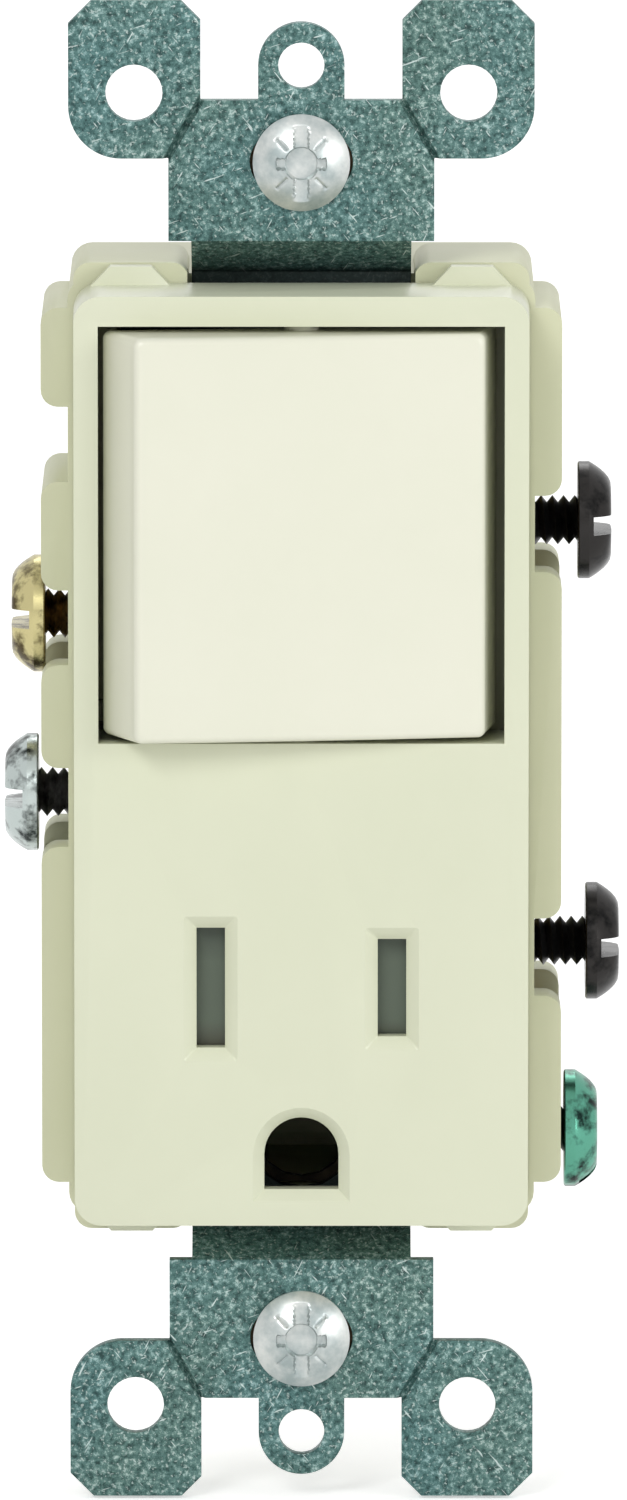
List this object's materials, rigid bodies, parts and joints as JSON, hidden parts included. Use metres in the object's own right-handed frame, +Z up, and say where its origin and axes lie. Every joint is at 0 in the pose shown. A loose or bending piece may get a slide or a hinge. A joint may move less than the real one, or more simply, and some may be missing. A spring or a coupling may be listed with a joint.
{
  "type": "rocker wall switch with receptacle",
  "caption": "Rocker wall switch above a grounded, shuttered receptacle on one steel strap, with side terminal screws.",
  "frame": {"origin": "middle of the strap's rear face, which lies against the wall box", "axes": "+X to the right seen from the room, +Y into the wall, +Z up"},
  "size_m": [0.0435, 0.0342, 0.106],
  "materials": {
    "strap_steel": "zinc-plated, mottled spangle with fine scratches",
    "almond_plastic": "moulded light almond thermoplastic, smooth",
    "body_plastic": "moulded light almond thermoplastic, satin",
    "rocker_plastic": "moulded light almond thermoplastic, glossy",
    "spring_steel": "bright drawn wire",
    "acetal": "natural acetal",
    "shutter_plastic": "grey-green moulded nylon",
    "copper_alloy": "stamped copper alloy",
    "contact_silver": "silver alloy, bright",
    "brass_strip": "stamped brass strip",
    "nickel_strip": "nickel-plated brass strip",
    "brass_screw": "brass-plated, brown in the thread",
    "nickel_screw": "bright nickel plating",
    "black_screw": "black oxide, glossy",
    "green_screw": "dyed green plating",
    "fibre": "vulcanised fibre"
  },
  "bodies": {
    "housing": {"mounting_strap": "strap_steel", "front_cover": "almond_plastic", "rear_body": "body_plastic", "seesaw_cradle": "brass_strip", "switched_terminal": "brass_strip", "fixed_contact_button": "contact_silver", "feed_plate": "brass_strip", "hot_contact": "brass_strip", "neutral_terminal": "nickel_strip", "neutral_contact": "brass_strip", "ground_contact": "brass_strip", "ground_rivet_left": "brass_strip", "ground_rivet_right": "brass_strip", "shutter_carrier": "acetal", "shutter_spring": "spring_steel", "retaining_washer_upper": "fibre", "retaining_washer_lower": "fibre", "centre_screw": "nickel_screw"},
    "rocker": {"rocker": "rocker_plastic", "rocker_spring": "spring_steel"},
    "plunger": {"rocker_plunger": "acetal"},
    "seesaw": {"seesaw_contact": "copper_alloy", "moving_contact_button": "contact_silver"},
    "shutter": {"shutter_slider": "shutter_plastic"},
    "brass_screw": {"terminal_screw_brass": "brass_screw"},
    "silver_screw": {"terminal_screw_silver": "nickel_screw"},
    "upper_black_screw": {"terminal_screw_black_upper": "black_screw"},
    "lower_black_screw": {"terminal_screw_black_lower": "black_screw"},
    "ground_screw": {"terminal_screw_ground": "green_screw"},
    "upper_strap_screw": {"mounting_screw_upper": "nickel_screw"},
    "lower_strap_screw": {"mounting_screw_lower": "nickel_screw"}
  },
  "joints": [
    {"name": "rocker_tilt", "type": "hinge", "parent": "housing", "child": "rocker", "pos_m": [0, -0.0039, 0.016], "axis": [0, 0, 1], "range_deg": [-16, 0]},
    {"name": "plunger_push", "type": "slide", "parent": "rocker", "child": "plunger", "axis": [-0.1392, 0.9903, 0], "range_m": [-0.001, 0], "stiffness_N_per_m": 400, "deforming": ["rocker_spring"]},
    {"name": "seesaw_tilt", "type": "hinge", "parent": "housing", "child": "seesaw", "pos_m": [0, 0.0102, 0.016], "axis": [0, 0, 1], "range_deg": [0, 16]},
    {"name": "shutter_slide", "type": "slide", "parent": "housing", "child": "shutter", "axis": [1, 0, 0], "range_m": [0, 0.0026], "stiffness_N_per_m": 250, "deforming": ["shutter_spring"]},
    {"name": "brass_screw_travel", "type": "slide", "parent": "housing", "child": "brass_screw", "axis": [-1, 0, 0], "range_m": [-0.0032, 0]},
    {"name": "silver_screw_travel", "type": "slide", "parent": "housing", "child": "silver_screw", "axis": [-1, 0, 0], "range_m": [-0.0037, 0]},
    {"name": "upper_black_screw_travel", "type": "slide", "parent": "housing", "child": "upper_black_screw", "axis": [1, 0, 0], "range_m": [-0.0046, 0]},
    {"name": "lower_black_screw_travel", "type": "slide", "parent": "housing", "child": "lower_black_screw", "axis": [1, 0, 0], "range_m": [-0.0052, 0]},
    {"name": "ground_screw_travel", "type": "slide", "parent": "housing", "child": "ground_screw", "axis": [1, 0, 0], "range_m": [-0.0037, 0]},
    {"name": "upper_strap_screw_travel", "type": "slide", "parent": "housing", "child": "upper_strap_screw", "axis": [0, -1, 0], "range_m": [0, 0.006]},
    {"name": "lower_strap_screw_travel", "type": "slide", "parent": "housing", "child": "lower_strap_screw", "axis": [0, -1, 0], "range_m": [0, 0.006]}
  ],
  "couplings": [
    {"joint": "seesaw_tilt", "follows": "rocker_tilt", "ratio": -1}
  ]
}
